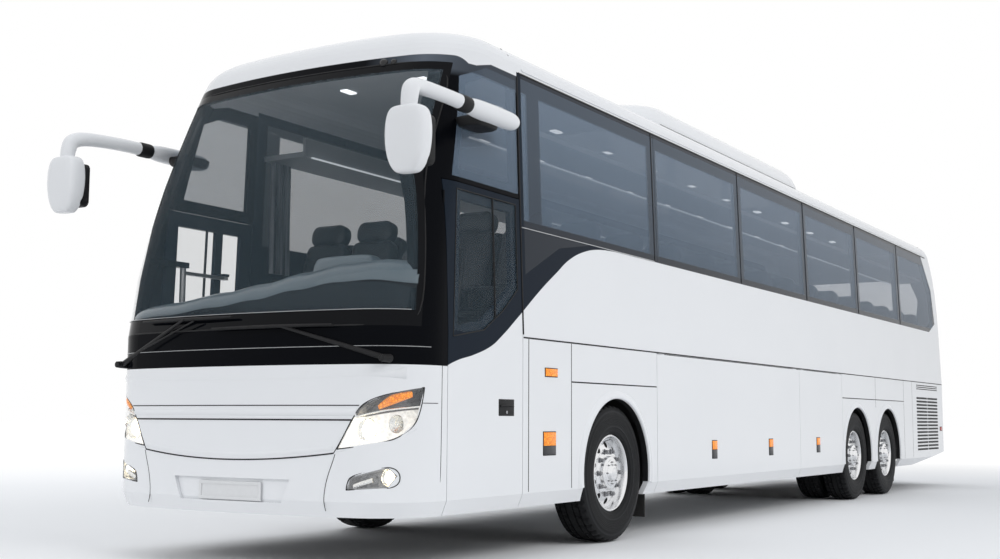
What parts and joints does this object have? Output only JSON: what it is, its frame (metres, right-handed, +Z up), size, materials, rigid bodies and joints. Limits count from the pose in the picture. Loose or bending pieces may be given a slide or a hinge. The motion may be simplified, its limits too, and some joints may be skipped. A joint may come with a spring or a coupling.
{
  "type": "three-axle touring coach",
  "caption": "Long touring coach with a raised deck, bowed front, hollow cabin with seats, side luggage bay, steered front wheels, opening doors and flaps.",
  "frame": {"origin": "on the ground, under the middle of the overall box with its mirrors", "axes": "+Z up, -Y forward, +X the vehicle's left, the driver's side"},
  "size_m": [3.201, 14.22, 3.7548],
  "materials": {
    "body_paint": "gloss",
    "black_panel": "gloss",
    "clear_glass": "clear",
    "tinted_glass": "tinted",
    "lens": "clear",
    "lamp_bowl": "bright",
    "bare_metal": "satin",
    "tail_lens": "gloss",
    "floor_covering": "matte",
    "bay_metal": "satin",
    "housing": "matte",
    "chassis_paint": "satin",
    "cast_metal": "rough",
    "dashboard": "satin",
    "seat_leather": "satin",
    "cabin_trim": "satin",
    "curtain_cloth": "matte",
    "black_trim": "satin",
    "wheel_alloy": "polished",
    "tyre_rubber": "matte"
  },
  "bodies": {
    "body": {"front_hood_panel": "body_paint", "front_grille_panel": "body_paint", "front_bumper": "body_paint", "windscreen_frame": "black_panel", "windscreen": "clear_glass", "front_lamp_lenses": "lens", "front_lamp_bowls": "lamp_bowl", "side_walls": "body_paint", "side_windows": "tinted_glass", "rear_wall": "body_paint", "rear_window": "tinted_glass", "tail_lamps": "tail_lens", "roof_panel": "body_paint", "roof_caps": "body_paint", "roof_edges": "body_paint", "air_conditioner": "body_paint", "passenger_deck": "floor_covering", "deck_riser": "floor_covering", "cab_floor": "floor_covering", "entry_steps": "floor_covering", "luggage_bay": "bay_metal", "wheel_housings": "housing", "subframes": "chassis_paint", "towing_eye": "chassis_paint", "engine": "cast_metal", "axles": "chassis_paint", "dashboard": "dashboard", "seats": "seat_leather", "luggage_racks": "cabin_trim", "curtains": "curtain_cloth", "mirror_arms": "body_paint", "mirror_heads": "body_paint", "wipers": "black_trim"},
    "front_left_wheel": {"front_left_wheel": "wheel_alloy", "front_left_tyre": "tyre_rubber"},
    "front_right_wheel": {"front_right_wheel": "wheel_alloy", "front_right_tyre": "tyre_rubber"},
    "drive_left_wheel": {"drive_left_wheel": "wheel_alloy", "drive_left_tyre": "tyre_rubber", "drive_left_inner_wheel": "wheel_alloy"},
    "drive_right_wheel": {"drive_right_wheel": "wheel_alloy", "drive_right_tyre": "tyre_rubber", "drive_right_inner_wheel": "wheel_alloy"},
    "tag_left_wheel": {"tag_left_wheel": "wheel_alloy", "tag_left_tyre": "tyre_rubber"},
    "tag_right_wheel": {"tag_right_wheel": "wheel_alloy", "tag_right_tyre": "tyre_rubber"},
    "left_knuckle": {"left_knuckle": "chassis_paint"},
    "right_knuckle": {"right_knuckle": "chassis_paint"},
    "driver_door": {"driver_door": "body_paint", "driver_door_window": "tinted_glass"},
    "passenger_door_arm": {"passenger_door_arm": "bare_metal"},
    "passenger_door": {"passenger_door": "body_paint", "passenger_door_window": "tinted_glass"},
    "left_luggage_door_front": {"left_luggage_door_front": "body_paint"},
    "left_luggage_door_rear": {"left_luggage_door_rear": "body_paint"},
    "right_luggage_door_front": {"right_luggage_door_front": "body_paint"},
    "right_luggage_door_rear": {"right_luggage_door_rear": "body_paint"},
    "engine_lid": {"engine_lid": "body_paint"},
    "steering_wheel": {"steering_wheel": "dashboard"}
  },
  "joints": [
    {"name": "left_steer", "type": "hinge", "parent": "body", "child": "left_knuckle", "pos_m": [0.9, -3.99, 0.522], "axis": [0, 0, 1], "range_deg": [-40, 40]},
    {"name": "right_steer", "type": "hinge", "parent": "body", "child": "right_knuckle", "pos_m": [-0.9, -3.99, 0.522], "axis": [0, 0, 1], "range_deg": [-40, 40]},
    {"name": "steering_wheel_turn", "type": "hinge", "parent": "body", "child": "steering_wheel", "pos_m": [0.65, -6.29, 1.69], "axis": [0, 0.5736, 0.8192], "range_deg": [-640, 640]},
    {"name": "front_left_spin", "type": "hinge", "parent": "left_knuckle", "child": "front_left_wheel", "pos_m": [1.105, -3.99, 0.522], "axis": [1, 0, 0], "continuous": true},
    {"name": "front_right_spin", "type": "hinge", "parent": "right_knuckle", "child": "front_right_wheel", "pos_m": [-1.105, -3.99, 0.522], "axis": [1, 0, 0], "continuous": true},
    {"name": "drive_left_spin", "type": "hinge", "parent": "body", "child": "drive_left_wheel", "pos_m": [1.105, 2.51, 0.522], "axis": [1, 0, 0], "continuous": true},
    {"name": "drive_right_spin", "type": "hinge", "parent": "body", "child": "drive_right_wheel", "pos_m": [-1.105, 2.51, 0.522], "axis": [1, 0, 0], "continuous": true},
    {"name": "tag_left_spin", "type": "hinge", "parent": "body", "child": "tag_left_wheel", "pos_m": [1.105, 3.89, 0.522], "axis": [1, 0, 0], "continuous": true},
    {"name": "tag_right_spin", "type": "hinge", "parent": "body", "child": "tag_right_wheel", "pos_m": [-1.105, 3.89, 0.522], "axis": [1, 0, 0], "continuous": true},
    {"name": "driver_door_swing", "type": "hinge", "parent": "body", "child": "driver_door", "pos_m": [1.275, -6.329, 1.4], "axis": [0, 0, 1], "range_deg": [-75, 0]},
    {"name": "passenger_arm_swing", "type": "hinge", "parent": "body", "child": "passenger_door_arm", "pos_m": [-1.14, -6.205, 1.65], "axis": [0, 0, 1], "range_deg": [0, 105]},
    {"name": "passenger_door_turn", "type": "hinge", "parent": "passenger_door_arm", "child": "passenger_door", "pos_m": [-1.14, -5.775, 1.65], "axis": [0, 0, 1], "range_deg": [-105, 0]},
    {"name": "left_luggage_front_lift", "type": "hinge", "parent": "body", "child": "left_luggage_door_front", "pos_m": [1.275, -1.445, 1.467], "axis": [0, -1, 0], "range_deg": [0, 100]},
    {"name": "left_luggage_rear_lift", "type": "hinge", "parent": "body", "child": "left_luggage_door_rear", "pos_m": [1.275, 1.11, 1.467], "axis": [0, -1, 0], "range_deg": [0, 100]},
    {"name": "right_luggage_front_lift", "type": "hinge", "parent": "body", "child": "right_luggage_door_front", "pos_m": [-1.275, -1.445, 1.467], "axis": [0, 1, 0], "range_deg": [0, 100]},
    {"name": "right_luggage_rear_lift", "type": "hinge", "parent": "body", "child": "right_luggage_door_rear", "pos_m": [-1.275, 1.11, 1.467], "axis": [0, 1, 0], "range_deg": [0, 100]},
    {"name": "engine_lid_lift", "type": "hinge", "parent": "body", "child": "engine_lid", "pos_m": [0, 7.11, 1.445], "axis": [1, 0, 0], "range_deg": [0, 75]}
  ],
  "couplings": [
    {"joint": "right_steer", "follows": "left_steer", "ratio": 1},
    {"joint": "steering_wheel_turn", "follows": "left_steer", "ratio": 16},
    {"joint": "passenger_door_turn", "follows": "passenger_arm_swing", "ratio": -1}
  ]
}
